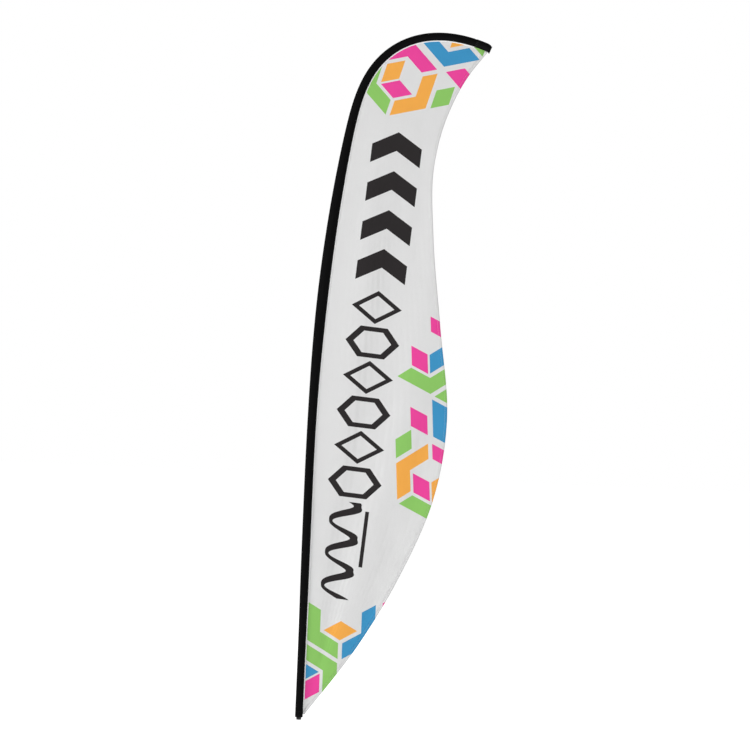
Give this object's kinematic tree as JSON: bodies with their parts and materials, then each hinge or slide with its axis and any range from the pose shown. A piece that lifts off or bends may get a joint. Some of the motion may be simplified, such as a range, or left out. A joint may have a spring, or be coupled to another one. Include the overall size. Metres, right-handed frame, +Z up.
{
  "type": "feather flag with pole",
  "caption": "Double-sided hooked feather flag in a full-length sleeve on a curved sectional pole, with a swivelling foot bush for a base spindle.",
  "frame": {"origin": "centre of the foot bush's lower face, where the base's spindle enters the pole", "axes": "+Z up the straight lower pole, +X from the pole towards the flag's free edge, +Y through the cloth from its front print to its back print"},
  "size_m": [0.6752, 0.027, 2.7676],
  "materials": {
    "foot_plastic": "moulded nylon, satin, very dark grey",
    "pole_tube": "drawn and anodised, satin",
    "collar_plastic": "moulded, semi-gloss black",
    "tip_rod": "pultruded glass-fibre rod, black, fine lengthwise grain",
    "sleeve_fabric": "black woven polyester, matt",
    "tape_fabric": "white woven binding tape",
    "printed_fabric": "light grey knitted polyester with dye-printed geometric blocks",
    "liner_fabric": "dark grey blockout liner",
    "hem_fabric": "double-folded edge of the printed cloth, lockstitched"
  },
  "bodies": {
    "foot": {"foot_bush": "foot_plastic"},
    "lower_pole": {"pole_section_1": "pole_tube", "ferrule_1": "collar_plastic"},
    "flag": {"pole_section_2": "pole_tube", "stop_ring_1": "collar_plastic", "ferrule_2": "collar_plastic", "pole_section_3": "pole_tube", "stop_ring_2": "collar_plastic", "ferrule_3": "collar_plastic", "pole_section_4": "tip_rod", "stop_ring_3": "collar_plastic", "tip_cap": "collar_plastic", "pole_sleeve": "sleeve_fabric", "sleeve_foot_band": "sleeve_fabric", "tip_pocket": "sleeve_fabric", "seam_tape": "tape_fabric", "front_panel": "printed_fabric", "blockout_liner": "liner_fabric", "back_panel": "printed_fabric", "trailing_hem": "hem_fabric"}
  },
  "joints": [
    {"name": "swivel", "type": "hinge", "parent": "foot", "child": "lower_pole", "pos_m": [0, 0, 0], "axis": [0, 0, 1], "continuous": true},
    {"name": "lift_off", "type": "slide", "parent": "lower_pole", "child": "flag", "axis": [0, 0, 1], "range_m": [0, 0.82]}
  ]
}
